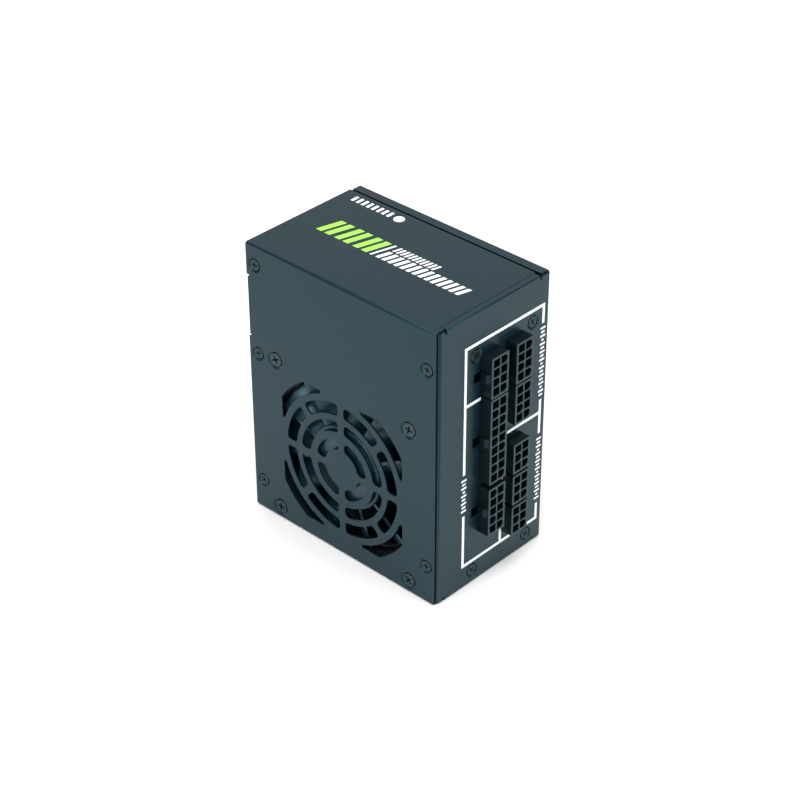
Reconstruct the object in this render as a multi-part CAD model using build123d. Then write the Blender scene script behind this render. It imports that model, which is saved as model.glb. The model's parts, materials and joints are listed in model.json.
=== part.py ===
from build123d import *
from math import atan2, cos, radians, sin, tan
import os

# Small-form-factor modular power supply, standing on its narrow side.
# Millimetres. X runs from the mains-inlet wall (-) to the cable-socket wall (+),
# Y from the fan face (-) to the plain rear face (+), Z up from the resting face.

# ---- casing ---------------------------------------------------------------
DEPTH_X = 100.0
THICK_Y = 63.5
HEIGHT = 125.0
SHEET = 0.8
BEND = 1.1
INLET_X = -DEPTH_X / 2
SOCKET_X = DEPTH_X / 2
FAN_FACE_Y = -THICK_Y / 2
REAR_Y = THICK_Y / 2
COVER_INNER_Y = FAN_FACE_Y + SHEET
COVER_END_Y = FAN_FACE_Y + 58.0
LIP_START_Y = FAN_FACE_Y + 59.0
COVER_FACE_END_X = SOCKET_X - 1.0
COVER_SIDE_END_X = SOCKET_X - 3.0
CORNER_TAB_Y = FAN_FACE_Y + 5.0
DIMPLE = 0.6
FLANGE_FRONT_Y = COVER_INNER_Y + DIMPLE
FLANGE = 8.0
FLANGE_SIDE_GAP = 0.15
FLANGE_GAP = 0.3
STRIP_GAP = 0.08
STRIP_DROP = 0.1
NOTCH_WIDTH = 0.9
NOTCH_DEPTH = 2.1
FOLD_R = 0.75
LIP_END_GAP = 0.9
LIP_INSET_X = 0.7
LIP_STEP_DEPTH = 6.0
EDGE_RELIEF = 0.5
EDGE_RELIEF_Z = (83.0, 110.3)

# ---- fasteners --------------------------------------------------------------
MOUNT_INSET = 6.0
MOUNT_HOLE_R = 1.4
MOUNT_COLLAR_R = 2.6
MOUNT_COLLAR = 1.6
COVER_SCREWS = [(-45.4, 116.2), (-45.4, 75.9), (-45.4, 14.5), (45.0, 107.8), (45.0, 17.4)]
SOCKET_SCREWS = [(-10.2, 106.2), (22.3, 106.2), (-10.2, 6.1), (22.3, 6.1)]
HEAD_RECESS = 0.2
CROSS_TURN = 25.0
SHANK_GAP = 0.02
SMALL_HEAD_R = 2.35
SMALL_HEAD_H = 1.2
SMALL_SHANK_R = 1.5
SMALL_SEAT_R = 3.3
SMALL_SEAT_INNER_R = 2.3
FAN_HEAD_R = 3.0
FAN_HEAD_H = 1.5
FAN_SHANK_R = 2.05
FAN_SEAT_R = 4.15
FAN_SEAT_INNER_R = 2.72

# ---- fan --------------------------------------------------------------------
FAN_Z = 41.3
FAN_SIZE = 80.0
FAN_DEPTH = 15.0
FAN_PITCH = 71.5
FAN_BORE_R = 38.0
FAN_FRONT_Y = COVER_INNER_Y
FAN_HUB_R = 18.5
BLADES = 11
BLADE_TIP_R = 37.2
BLADE_FRONT = 2.3
BLADE_BACK = 11.7
BLADE_EDGE = 1.4
BLADE_PHASE = 15.0
BORE_GROOVE = (7.2, 8.2, 0.5)
SHAFT_R = 1.5
SHAFT_CLEARANCE = 0.02
STATOR_POLES = 4

# ---- grille in the fan face: inner radius, outer radius, spokes, corner radius
SPOKE = 3.1
GRILLE_RINGS = [(8.9, 13.7, 2, 1.9), (17.0, 22.1, 2, 1.9), (24.8, 30.1, 4, 1.6)]
CORNER_SLOT = (33.0, 38.3, 32.6, 10.7)

# ---- cable sockets: name, column, rows of two contacts, height of the centre
CONTACT_PITCH = 4.2
SOCKET_WIDTH = 9.6
CELL = 3.55
SOCKET_FRONT_X = SOCKET_X + 5.0
SOCKET_BOARD_FACE_X = 42.0
SOCKET_BOARD_THICK = 1.6
CELL_FLOOR_X = 44.5
LEFT_COLUMN_Y = -1.95
RIGHT_COLUMN_Y = 12.2
CABLE_SOCKETS = [
    ("socket_left_8", "left", 4, 96.0),
    ("socket_left_18", "left", 9, 66.9),
    ("socket_left_10", "left", 5, 34.1),
    ("socket_right_8_upper", "right", 4, 96.0),
    ("socket_right_8_lower", "right", 4, 77.3),
    ("socket_right_6_upper", "right", 3, 52.1),
    ("socket_right_6_middle", "right", 3, 37.2),
    ("socket_right_6_lower", "right", 3, 22.3),
]
LATCH_WIDTH = 4.0
LATCH_PROUD = 1.3
LATCH_WINDOW = 4.5
PIN_SIDE = 1.14

# ---- mains inlet and switch ---------------------------------------------------
INLET_Z = 104.5
INLET_FLANGE = 2.6
INLET_BACK_X = -34.0
INLET_SCREW_Y = 20.0
SWITCH_Z = 79.0
ROCKER_PIVOT_X = -48.6
ROCKER_TILT = 11.0
TAB_END_X = -29.0
INLET_CUT = (INLET_Z, 13.9, 10.1)
SWITCH_CUT = (SWITCH_Z, 9.6, 6.5)

# ---- boards inside --------------------------------------------------------------
BOARD_Y = 24.4
BOARD_THICK = 1.6
STANDOFFS = [(-42.0, 6.5), (20.0, 6.5), (-42.0, 118.0), (35.0, 118.0)]


# ---- helpers ----------------------------------------------------------------------
def block(x0, x1, y0, y1, z0, z1):
    """Box between two corners."""
    middle = Pos((x0 + x1) / 2, (y0 + y1) / 2, (z0 + z1) / 2)
    return middle * Box(x1 - x0, y1 - y0, z1 - z0)


def cone_y(x, z, y0, r0, y1, r1):
    """Cone or cylinder along Y from radius r0 at y0 to radius r1 at y1."""
    place = Pos(x, (y0 + y1) / 2, z) * Rot(-90, 0, 0)
    if r0 == r1:
        return place * Cylinder(r0, y1 - y0)
    return place * Cone(r0, r1, y1 - y0)


def cone_x(y, z, x0, r0, x1, r1):
    """Cone or cylinder along X from radius r0 at x0 to radius r1 at x1."""
    place = Pos((x0 + x1) / 2, y, z) * Rot(0, 90, 0)
    if r0 == r1:
        return place * Cylinder(r0, x1 - x0)
    return place * Cone(r0, r1, x1 - x0)


def on_board(x, z, width, depth, height, lift=0.0):
    """Box standing on the main board, `height` towards the fan."""
    top = BOARD_Y - lift - height
    return block(x - width / 2, x + width / 2, top, BOARD_Y - lift, z - depth / 2, z + depth / 2)


def can_on_board(x, z, radius, height, lift=0.0):
    """Cylinder standing on the main board."""
    return cone_y(x, z, BOARD_Y - lift - height, radius, BOARD_Y - lift, radius)


def soften(part, axis, radius):
    """Round the edges that run along one axis."""
    return fillet(part.edges().filter_by(axis), radius)


def save(name, *pieces):
    """Write one node: a single solid, or a group of separate solids."""
    solids = [solid for piece in pieces for solid in piece.solids()]
    shape = solids[0] if len(solids) == 1 else Compound(children=solids)
    export_step(shape, os.path.join("parts", name + ".step"))
    print(name, len(solids), round(sum(solid.volume for solid in solids), 2))


def flat_screw(head_r, head_h, shank_r, length):
    """Countersunk cross-head screw, head top at z = 0, shank along -Z."""
    outline = Polyline(
        (0, 0, 0),
        (head_r - 0.15, 0, 0),
        (head_r, 0, -0.15),
        (shank_r, 0, -head_h),
        (shank_r, 0, -length + 0.4),
        (shank_r - 0.4, 0, -length),
        (0, 0, -length),
        (0, 0, 0),
    )
    body = revolve(make_face(outline), Axis.Z)
    wing = head_r * 1.25
    slot = head_r * 0.26
    cross = Rectangle(wing, slot) + Rectangle(slot, wing)
    recess = extrude(Plane.XY.offset(0.01) * cross, amount=-head_h * 0.85, taper=14)
    return body - recess


def pan_screw(head_r, head_h, shank_r, length):
    """Pan-head cross-head screw, underside of the head at z = 0, shank along -Z."""
    head = Pos(0, 0, head_h / 2) * Cylinder(head_r, head_h)
    head = fillet(head.edges().group_by(Axis.Z)[-1], head_h * 0.55)
    shank = Pos(0, 0, -length / 2) * Cylinder(shank_r, length)
    cross = Rectangle(head_r * 1.2, head_r * 0.26) + Rectangle(head_r * 0.26, head_r * 1.2)
    recess = extrude(Plane.XY.offset(head_h + 0.01) * cross, amount=-head_h * 0.7, taper=10)
    return head + shank - recess


def facing(x, y, z, out):
    """Location whose local Z points along `out`."""
    return Plane(origin=(x, y, z), z_dir=out).location


def driven(screw, places, out):
    """One copy of the screw at each place, each cross turned on from the last."""
    return [
        facing(x, y, z, out) * Rot(0, 0, CROSS_TURN * index) * screw
        for index, (x, y, z) in enumerate(places)
    ]


def profile_yz(y0, y1, z0, z1, radius):
    """Rectangle in the YZ plane with its two fan-side corners rounded."""
    face = Pos((y0 + y1) / 2, (z0 + z1) / 2) * Rectangle(y1 - y0, z1 - z0)
    return fillet(face.vertices().group_by(Axis.X)[0], radius)


# ---- casing -----------------------------------------------------------------------
def grille_slots():
    """Concentric slots of the fan grille, as a sketch about the fan axis."""
    slots = Sketch()
    for inner, outer, spokes, corner in GRILLE_RINGS:
        ring = Circle(outer) - Circle(inner)
        for index in range(spokes):
            ring -= Rot(0, 0, 180 / spokes * index) * Rectangle(2 * outer + 2, SPOKE)
        slots += fillet(ring.vertices(), corner)
    inner, outer, clip, cross = CORNER_SLOT
    middle = (clip + cross) / 2
    window = Pos(middle, middle) * Rectangle(clip - cross, clip - cross)
    corner = (Circle(outer) - Circle(inner)) & window
    corner = fillet(corner.vertices(), 0.6)
    for index in range(4):
        slots += Rot(0, 0, 90 * index) * corner
    return slots


def make_cover():
    outer = profile_yz(FAN_FACE_Y, COVER_END_Y, 0, HEIGHT, BEND)
    inner = profile_yz(COVER_INNER_Y, COVER_END_Y + 5, SHEET, HEIGHT - SHEET, BEND - SHEET)
    shell = extrude(Plane.YZ.offset(INLET_X) * (outer - inner), COVER_FACE_END_X - INLET_X)
    shell -= block(COVER_SIDE_END_X, SOCKET_X, CORNER_TAB_Y, COVER_END_Y + 1, -1, HEIGHT + 1)
    fan_plane = Plane(origin=(0, FAN_FACE_Y, FAN_Z), x_dir=(1, 0, 0), z_dir=(0, -1, 0))
    shell -= extrude(fan_plane * grille_slots(), amount=2, both=True)
    z0, z1 = EDGE_RELIEF_Z
    shell -= block(INLET_X - 1, INLET_X + EDGE_RELIEF, FAN_FACE_Y - 1, COVER_INNER_Y, z0, z1)
    for z in EDGE_RELIEF_Z:
        shell -= block(INLET_X - 1, INLET_X + 1.3, FAN_FACE_Y - 1, COVER_INNER_Y, z - 0.5, z + 0.5)
    for x, z in fan_corners():
        shell -= cone_y(x, z, FAN_FACE_Y, FAN_SEAT_R, COVER_INNER_Y, FAN_SEAT_INNER_R)
    for x, z in COVER_SCREWS:
        shell += cone_y(x, z, COVER_INNER_Y, SMALL_SEAT_R + 0.3, FLANGE_FRONT_Y, SMALL_SEAT_INNER_R + 0.3)
        shell -= cone_y(x, z, FAN_FACE_Y, SMALL_SEAT_R, FLANGE_FRONT_Y, SMALL_SHANK_R + SHANK_GAP)
    return shell


def fan_corners():
    half = FAN_PITCH / 2
    return [(sx * half, FAN_Z + sz * half) for sx in (-1, 1) for sz in (-1, 1)]


def mount_points():
    half_y = THICK_Y / 2 - MOUNT_INSET
    return [(sy * half_y, z) for sy in (-1, 1) for z in (MOUNT_INSET, HEIGHT - MOUNT_INSET)]


def vent_holes():
    """Hexagon mesh in the inlet wall, as a sketch with X = Y world and Y = Z world."""
    across = 4.6
    pitch = 5.6
    row_step = pitch * sin(radians(60))
    cell = RegularPolygon(across / 2 / cos(radians(30)), 6, rotation=30)
    mesh = Sketch()
    for row in range(12):
        shift = pitch / 2 if row % 2 else 0
        count = 8 if row % 2 else 9
        for column in range(count):
            y = (column - 4) * pitch + shift
            mesh += Pos(y, 12.5 + row * row_step) * cell
    return mesh


def top_and_bottom(x0, x1, y0, y1, deep, shallow):
    """Matching blocks at both ends, between two depths below the end faces."""
    low = block(x0, x1, y0, y1, shallow, deep)
    return low + block(x0, x1, y0, y1, HEIGHT - deep, HEIGHT - shallow)


def tray_walls():
    """Socket wall, inlet wall and rear face as one folded sheet, with its side flanges."""
    x_out = DEPTH_X / 2
    inner_x = x_out - SHEET
    y_mid = (FLANGE_FRONT_Y + REAR_Y) / 2
    y_size = REAR_Y - FLANGE_FRONT_Y
    outer = Pos(0, y_mid) * RectangleRounded(2 * x_out, y_size, BEND)
    inner = Pos(0, y_mid) * RectangleRounded(2 * inner_x, y_size - 2 * SHEET, BEND - SHEET)
    window = Pos(0, FLANGE_FRONT_Y) * Rectangle(2 * (x_out - FLANGE), FLANGE)
    walls = extrude(Plane.XY.offset(SHEET) * (outer - inner - window), HEIGHT - 2 * SHEET)
    y0 = CORNER_TAB_Y + FLANGE_GAP
    y1 = COVER_END_Y - 2 * FLANGE_GAP
    walls += top_and_bottom(-x_out, FLANGE - x_out, y0, y1, 2 * SHEET, SHEET)
    walls += top_and_bottom(x_out - FLANGE, x_out, y0, y1, 2 * SHEET, SHEET)
    strip_x = COVER_SIDE_END_X + STRIP_GAP
    walls += top_and_bottom(strip_x, x_out, y0, y1, SHEET, STRIP_DROP)
    walls -= top_and_bottom(strip_x + SHEET, inner_x, y0, y1, 2 * SHEET, STRIP_DROP + SHEET)
    for y in (y0 - NOTCH_WIDTH, y1):
        notch = top_and_bottom(inner_x - 0.1, x_out + 1, y, y + NOTCH_WIDTH, NOTCH_DEPTH, SHEET)
        walls -= notch
    folds = [
        edge
        for edge in walls.edges().filter_by(Axis.Y)
        if edge.center().X > x_out - 0.01 and edge.length > 20
    ]
    return fillet(folds, FOLD_R)


def tray_lips():
    """Rear lips flush with the cover's sides, and the steps that tuck under the cover."""
    x_out = DEPTH_X / 2
    lips = top_and_bottom(-x_out + LIP_INSET_X, x_out - LIP_END_GAP, LIP_START_Y, REAR_Y, SHEET, 0)
    rear_edges = lips.edges().filter_by(Axis.X).group_by(Axis.Y)[-1]
    outermost = [edge for edge in rear_edges if abs(edge.center().Z - HEIGHT / 2) > HEIGHT / 2 - 0.01]
    lips = fillet(outermost, FOLD_R)
    step_x = x_out - FLANGE - 1
    step_y = COVER_END_Y - LIP_STEP_DEPTH
    return lips + top_and_bottom(-step_x, step_x, step_y, LIP_START_Y + SHEET, 2 * SHEET, SHEET)


def make_tray():
    x_out = DEPTH_X / 2
    hole_r = SMALL_SHANK_R + SHANK_GAP
    tray = tray_walls() + tray_lips() - socket_windows()
    for y, z in SOCKET_SCREWS:
        tray -= cone_x(y, z, x_out - SHEET, SMALL_SEAT_INNER_R, x_out, SMALL_SEAT_R)
    for x, z in COVER_SCREWS:
        tray -= cone_y(x, z, FLANGE_FRONT_Y - 1, hole_r, FLANGE_FRONT_Y + 2, hole_r)
    for y, z in mount_points():
        tray += cone_x(y, z, -x_out, MOUNT_COLLAR_R, -x_out + MOUNT_COLLAR, MOUNT_COLLAR_R)
        tray -= cone_x(y, z, -x_out - 1, MOUNT_HOLE_R, -x_out + MOUNT_COLLAR + 1, MOUNT_HOLE_R)
    tray -= extrude(Plane.YZ.offset(-x_out - 1) * vent_holes(), 3)
    for z, half_y, half_z in (INLET_CUT, SWITCH_CUT):
        tray -= block(-x_out - 1, -x_out + 1, -half_y, half_y, z - half_z, z + half_z)
    for sign in (-1, 1):
        tray -= cone_x(sign * INLET_SCREW_Y, INLET_Z, -x_out - 1, hole_r, -x_out + 1, hole_r)
    return tray


def column_y(column):
    return LEFT_COLUMN_Y if column == "left" else RIGHT_COLUMN_Y


def latch_side(column):
    """The latch faces away from the other column."""
    return -1 if column == "left" else 1


def socket_windows():
    """Openings in the socket wall, one per socket, with its latch window."""
    gap = FLANGE_SIDE_GAP
    windows = Part()
    for _, column, rows, z in CABLE_SOCKETS:
        y = column_y(column)
        half = SOCKET_WIDTH / 2 + gap
        half_z = socket_length(rows) / 2 + gap
        windows += block(SOCKET_X - 2, SOCKET_X + 1, y - half, y + half, z - half_z, z + half_z)
        near, far = sorted((y, y + latch_side(column) * (SOCKET_WIDTH / 2 + LATCH_WINDOW)))
        windows += block(SOCKET_X - 2, SOCKET_X + 1, near, far, z - 2.15, z + 2.15)
    return windows


# ---- cable sockets ------------------------------------------------------------------
def socket_length(rows):
    return rows * CONTACT_PITCH + 1.2


def cell_outline(keyed):
    """One contact cell; a keyed cell has two corners cut off."""
    half = CELL / 2
    if not keyed:
        return Rectangle(CELL, CELL)
    cut = 1.0
    return make_face(Polyline(
        (-half, -half), (half - cut, -half), (half, -half + cut),
        (half, half - cut), (half - cut, half), (-half, half), (-half, -half)))


def contact_centres(column, rows, z):
    y = column_y(column)
    return [
        (y + side * CONTACT_PITCH / 2, z + (row - (rows - 1) / 2) * CONTACT_PITCH, row, side)
        for row in range(rows)
        for side in (-1, 1)
    ]


def make_socket(column, rows, z):
    y = column_y(column)
    half_y = SOCKET_WIDTH / 2
    half_z = socket_length(rows) / 2
    body = block(SOCKET_BOARD_FACE_X, SOCKET_FRONT_X, y - half_y, y + half_y, z - half_z, z + half_z)
    body = soften(body, Axis.X, 0.35)
    cells = Sketch()
    holes = Sketch()
    for cell_y, cell_z, row, side in contact_centres(column, rows, z):
        keyed = (row + (side > 0)) % 3 == 1
        cells += Pos(cell_y, cell_z) * cell_outline(keyed)
        holes += Pos(cell_y, cell_z) * Rectangle(PIN_SIDE, PIN_SIDE)
    body -= extrude(Plane.YZ.offset(CELL_FLOOR_X) * cells, SOCKET_FRONT_X - CELL_FLOOR_X + 1)
    body -= extrude(Plane.YZ.offset(SOCKET_BOARD_FACE_X - 1) * holes, 5)
    out = latch_side(column)
    base = y + out * half_y
    ramp = make_face(Polyline(
        (SOCKET_X + 0.6, base - out * 0.2), (SOCKET_X + 4.6, base - out * 0.2),
        (SOCKET_X + 3.2, base + out * LATCH_PROUD), (SOCKET_X + 0.6, base + out * LATCH_PROUD),
        (SOCKET_X + 0.6, base - out * 0.2)))
    return body + extrude(Plane.XY.offset(z) * ramp, LATCH_WIDTH / 2, both=True)


def make_socket_pins():
    pins = []
    half = PIN_SIDE / 2
    for _, column, rows, z in CABLE_SOCKETS:
        for y, cell_z, _, _ in contact_centres(column, rows, z):
            pin = block(38.9, 52.4, y - half, y + half, cell_z - half, cell_z + half)
            pins.append(chamfer(pin.faces().sort_by(Axis.X)[-1].edges(), 0.3))
    return pins


def make_socket_board():
    x0 = SOCKET_BOARD_FACE_X - SOCKET_BOARD_THICK
    board = soften(block(x0, SOCKET_BOARD_FACE_X, -14.9, 26.3, 2.6, 111.0), Axis.X, 1.0)
    holes = Sketch()
    for _, column, rows, z in CABLE_SOCKETS:
        for y, cell_z, _, _ in contact_centres(column, rows, z):
            holes += Pos(y, cell_z) * Circle(0.9)
    for y, z in SOCKET_SCREWS:
        holes += Pos(y, z) * Circle(SMALL_SHANK_R + 0.1)
    return board - extrude(Plane.YZ.offset(x0 - 1) * holes, SOCKET_BOARD_THICK + 2)


def make_socket_spacers():
    spacers = []
    for y, z in SOCKET_SCREWS:
        post = extrude(Plane.YZ.offset(SOCKET_BOARD_FACE_X) * (Pos(y, z) * RegularPolygon(3.0, 6)), 7.2)
        post -= cone_x(y, z, 41, SMALL_SHANK_R + SHANK_GAP, 51, SMALL_SHANK_R + SHANK_GAP)
        spacers.append(post - cone_x(y, z, 48.6, SMALL_SHANK_R, 49.2, SMALL_SHANK_R + 0.6))
    return spacers


# ---- mains inlet and switch -----------------------------------------------------------
def make_inlet_body():
    front = INLET_X - INLET_FLANGE
    ears = Rectangle(31.0, 24.0) + Rectangle(40.0, 10.0)
    ears += Pos(-INLET_SCREW_Y, 0) * Circle(5.0)
    ears += Pos(INLET_SCREW_Y, 0) * Circle(5.0)
    place = Plane(origin=(front, 0, INLET_Z), x_dir=(0, 1, 0), z_dir=(1, 0, 0))
    body = extrude(place * ears, INLET_FLANGE)
    body = chamfer(body.faces().sort_by(Axis.X)[0].outer_wire().edges(), 0.5)
    housing = Rectangle(27.4, 19.8)
    body += extrude(place * fillet(housing.vertices(), 1.0), INLET_BACK_X - front)
    cavity = make_face(Polyline(
        (-12.1, -8.2), (12.1, -8.2), (12.1, 4.0), (8.0, 8.2), (-8.0, 8.2), (-12.1, 4.0), (-12.1, -8.2)))
    body -= extrude(place * cavity, 16.0)
    for y, z in inlet_pin_places():
        body -= block(INLET_BACK_X - 5, INLET_BACK_X + 1, y - 1, y + 1, z - 2, z + 2)
    for sign in (-1, 1):
        y = sign * INLET_SCREW_Y
        body -= cone_x(y, INLET_Z, front - 1, SMALL_SHANK_R + 0.2, INLET_X + 1, SMALL_SHANK_R + 0.2)
        body -= cone_x(y, INLET_Z, front, SMALL_HEAD_R + 0.3, front + 1.3, SMALL_SHANK_R + 0.2)
    return body


def inlet_pin_places():
    """Line, neutral and the offset earth blade."""
    return [(-7.0, INLET_Z - 1.0), (7.0, INLET_Z - 1.0), (0.0, INLET_Z + 3.0)]


def make_inlet_pins():
    pins = []
    for y, z in inlet_pin_places():
        blade = block(-48.4, TAB_END_X, y - 1, y + 1, z - 2, z + 2)
        pins.append(chamfer(blade.faces().sort_by(Axis.X)[0].edges(), 0.6))
    return pins


def make_switch_body():
    front = INLET_X - 1.6
    flange = soften(block(front, INLET_X, -10.5, 10.5, SWITCH_Z - 7.5, SWITCH_Z + 7.5), Axis.X, 1.6)
    flange = chamfer(flange.faces().sort_by(Axis.X)[0].edges(), 0.5)
    body = flange + block(INLET_X, -36.0, -9.5, 9.5, SWITCH_Z - 6.4, SWITCH_Z + 6.4)
    body -= block(front - 1, -40.0, -8.75, 8.75, SWITCH_Z - 5.3, SWITCH_Z + 5.3)
    body -= Pos(ROCKER_PIVOT_X, 0, SWITCH_Z) * Cylinder(1.05, 12.8)
    for y in (-4.0, 4.0):
        body -= block(-41, -35, y - 0.4, y + 0.4, SWITCH_Z - 2.4, SWITCH_Z + 2.4)
    return body


def make_rocker():
    """Rocker lying at its off position; it turns about Z by twice the tilt."""
    top = ThreePointArc((-3.0, -8.2), (-1.6, 0.0), (-3.0, 8.2))
    rest = Polyline((-3.0, 8.2), (1.2, 8.2), (4.2, 3.0), (4.2, -3.0), (1.2, -8.2), (-3.0, -8.2))
    profile = make_face(top + rest)
    key = extrude(profile, 5.0, both=True)
    key += Cylinder(1.0, 12.4)
    return Pos(ROCKER_PIVOT_X, 0, SWITCH_Z) * Rot(0, 0, -ROCKER_TILT) * key


def make_switch_terminals():
    return [block(-40.0, TAB_END_X, y - 0.4, y + 0.4, SWITCH_Z - 2.4, SWITCH_Z + 2.4) for y in (-4.0, 4.0)]


# ---- fan --------------------------------------------------------------------------------
FAN_PLACE = Plane(origin=(0, FAN_FRONT_Y, FAN_Z), x_dir=(1, 0, 0), z_dir=(0, 1, 0)).location


def disc(radius, z0, z1):
    """Disc about the fan axis, in the fan's own frame, z measured inwards."""
    return Pos(0, 0, (z0 + z1) / 2) * Cylinder(radius, z1 - z0)


def ring(outer, inner, z0, z1):
    return disc(outer, z0, z1) - disc(inner, z0 - 1, z1 + 1)


def make_fan_frame():
    plate = RectangleRounded(FAN_SIZE, FAN_SIZE, 4.0)
    front = extrude(plate, 3.6)
    front = chamfer(front.faces().sort_by(Axis.Z)[0].edges(), 0.7)
    frame = front + extrude(Plane.XY.offset(FAN_DEPTH - 3.6) * plate, 3.6)
    frame += disc(FAN_BORE_R + 1.2, 0, FAN_DEPTH)
    frame -= disc(FAN_BORE_R, -1, FAN_DEPTH + 1)
    groove_start, groove_end, groove_depth = BORE_GROOVE
    frame -= ring(FAN_BORE_R + groove_depth, FAN_BORE_R - 1, groove_start, groove_end)
    frame += disc(17.0, 13.0, FAN_DEPTH)
    for index in range(4):
        strut = Pos(27.5, 0, FAN_DEPTH - 1.1) * Box(23.0, 3.2, 2.2)
        frame += Rot(0, 0, 45 + 90 * index) * soften(strut, Axis.X, 0.8)
    frame += ring(3.6, 2.5, 3.6, 13.5)
    half = FAN_PITCH / 2
    for sx in (-1, 1):
        for sy in (-1, 1):
            frame -= Pos(sx * half, sy * half, FAN_DEPTH / 2) * Cylinder(FAN_SHANK_R + 0.1, FAN_DEPTH + 2)
            frame -= Pos(sx * half, sy * half, 0.5) * Cone(FAN_SEAT_INNER_R, FAN_SHANK_R + 0.1, 1.0)
    return FAN_PLACE * frame


def blade_section(radius, half_chord, camber):
    """Cambered blade section at one radius, with flat leading and trailing edges."""
    pitch = atan2(BLADE_BACK - BLADE_FRONT, 2 * half_chord)
    bow_x = camber * sin(pitch)
    bow_z = (BLADE_FRONT + BLADE_BACK) / 2 - camber * cos(pitch)
    plane = Plane(origin=(radius, 0, 0), x_dir=(0, 1, 0), z_dir=(1, 0, 0))
    front_left = (-half_chord, BLADE_FRONT)
    front_right = (-half_chord + BLADE_EDGE, BLADE_FRONT)
    back_left = (half_chord - BLADE_EDGE, BLADE_BACK)
    back_right = (half_chord, BLADE_BACK)
    upper = ThreePointArc(front_right, (bow_x + BLADE_EDGE / 2, bow_z), back_right)
    lower = ThreePointArc(back_left, (bow_x - BLADE_EDGE / 2, bow_z), front_left)
    return plane * make_face(upper + Line(back_right, back_left) + lower + Line(front_left, front_right))


def make_impeller():
    hub = disc(FAN_HUB_R, 1.2, 12.2)
    hub = fillet(hub.edges().group_by(Axis.Z)[0], 1.0)
    hub -= disc(17.1, 2.6, 13.0)
    hub += disc(2.9, 1.8, 3.2)
    hub -= disc(SHAFT_R, 1.8, 4.0)
    sections = [blade_section(17.3, 4.0, 0.9), blade_section(27.0, 6.2, 1.1), blade_section(38.5, 8.2, 1.1)]
    blade = loft(sections) & ring(BLADE_TIP_R, FAN_HUB_R - 0.7, 0, FAN_DEPTH)
    for index in range(BLADES):
        hub += Rot(0, 0, 360 / BLADES * index + BLADE_PHASE) * blade
    return FAN_PLACE * hub


def make_stator():
    core = ring(6.0, 3.6, 4.6, 9.6)
    shoe_ring = ring(14.4, 12.2, 4.6, 9.6)
    for index in range(STATOR_POLES):
        turn = Rot(0, 0, 90 * index)
        arm = Pos(9.2, 0, 7.1) * Box(7.0, 3.6, 5.0)
        shoe = shoe_ring & (Pos(12, 0, 7.1) * Box(10, 15.5, 6))
        core += turn * (arm + shoe)
    return FAN_PLACE * core


def make_stator_coils():
    coils = []
    for index in range(STATOR_POLES):
        coil = soften(Pos(8.8, 0, 7.1) * Box(4.8, 8.0, 7.6), Axis.X, 1.6)
        coil -= Pos(8.8, 0, 7.1) * Box(6.0, 3.6, 5.0)
        coils.append(FAN_PLACE * (Rot(0, 0, 90 * index) * coil))
    return coils


# ---- wires held inside the casing -----------------------------------------------------------
def bend_radii(points):
    """Largest tangent arc for each corner: 0.45 of the shorter run over the half-turn's tangent."""
    vectors = [Vector(*end) - Vector(*start) for start, end in zip(points, points[1:])]
    radii = []
    for before, after in zip(vectors, vectors[1:]):
        half_turn = radians(before.get_angle(after)) / 2
        radii.append(0.45 * min(before.length, after.length) / tan(half_turn))
    return radii


def wire(points, radius):
    """Round wire along straight runs joined by tangent arcs."""
    radii = bend_radii(points)
    print("wire radii", [round(value, 1) for value in radii])
    path = FilletPolyline(*points, radius=radii)
    start = Plane(origin=path @ 0, z_dir=path % 0)
    return sweep(start * Circle(radius), path=path)


FAN_LEAD_X = (25.2, 26.8)
FAN_LEAD_YZ = [(-18.6, FAN_Z + FAN_SIZE / 2), (-18.6, 93.0), (-9.5, 107.0), (3.5, 114.0), (15.0, 114.0)]
FAN_HEADER = (26.0, 114.0)


def make_fan_lead():
    return [wire([(x, y, z) for y, z in FAN_LEAD_YZ], 0.65) for x in FAN_LEAD_X]


def make_fan_plug():
    x, z = FAN_HEADER
    plug = block(x - 3.5, x + 3.5, 15.0, 21.5, z - 2.0, z + 2.0)
    return chamfer(plug.faces().sort_by(Axis.Y)[-1].edges(), 0.3)


def make_fan_header():
    x, z = FAN_HEADER
    shroud = block(x - 4.4, x + 4.4, 17.0, BOARD_Y, z - 2.9, z + 2.9)
    shroud -= block(x - 3.55, x + 3.55, 16.0, 21.5, z - 2.05, z + 2.05)
    return shroud - block(x - 1.5, x + 1.5, 16.0, 21.5, z + 1.0, z + 4.0)


def make_mains_wires():
    """Neutral and earth to the board, line to the switch, and the switch to the board."""
    neutral_z = INLET_Z - 1.0
    earth_z = INLET_Z + 3.0
    neutral = [(TAB_END_X, 7.0), (-25.2, 7.0), (-21.6, 10.4), (-20.5, 17.8), (-20.5, BOARD_Y)]
    earth = [(TAB_END_X, 0.0), (-25.0, 0.0), (-21.0, 4.2), (-19.4, 11.0), (-20.0, 18.0), (-20.0, BOARD_Y)]
    switched = [(TAB_END_X, 4.0), (-26.0, 4.0), (-23.8, 7.4), (-23.0, 13.0), (-23.4, 18.6), (-23.4, BOARD_Y)]
    line = [
        (TAB_END_X, -7.0, neutral_z),
        (-25.2, -7.0, neutral_z),
        (-22.0, -6.8, 99.8),
        (-21.4, -6.0, 93.5),
        (-21.4, -5.0, 87.5),
        (-22.4, -4.2, 82.4),
        (-25.4, -4.0, SWITCH_Z + 0.5),
        (TAB_END_X, -4.0, SWITCH_Z + 0.5),
    ]
    return [
        wire([(x, y, neutral_z) for x, y in neutral], 1.0),
        wire([(x, y, earth_z) for x, y in earth], 1.0),
        wire([(x, y, SWITCH_Z) for x, y in switched], 1.0),
        wire(line, 1.0),
    ]


# ---- boards and components -------------------------------------------------------------------
def board_holes(thick_from, thick_to, radius):
    cuts = Part()
    for x, z in STANDOFFS:
        cuts += cone_y(x, z, thick_from, radius, thick_to, radius)
    return cuts


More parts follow.
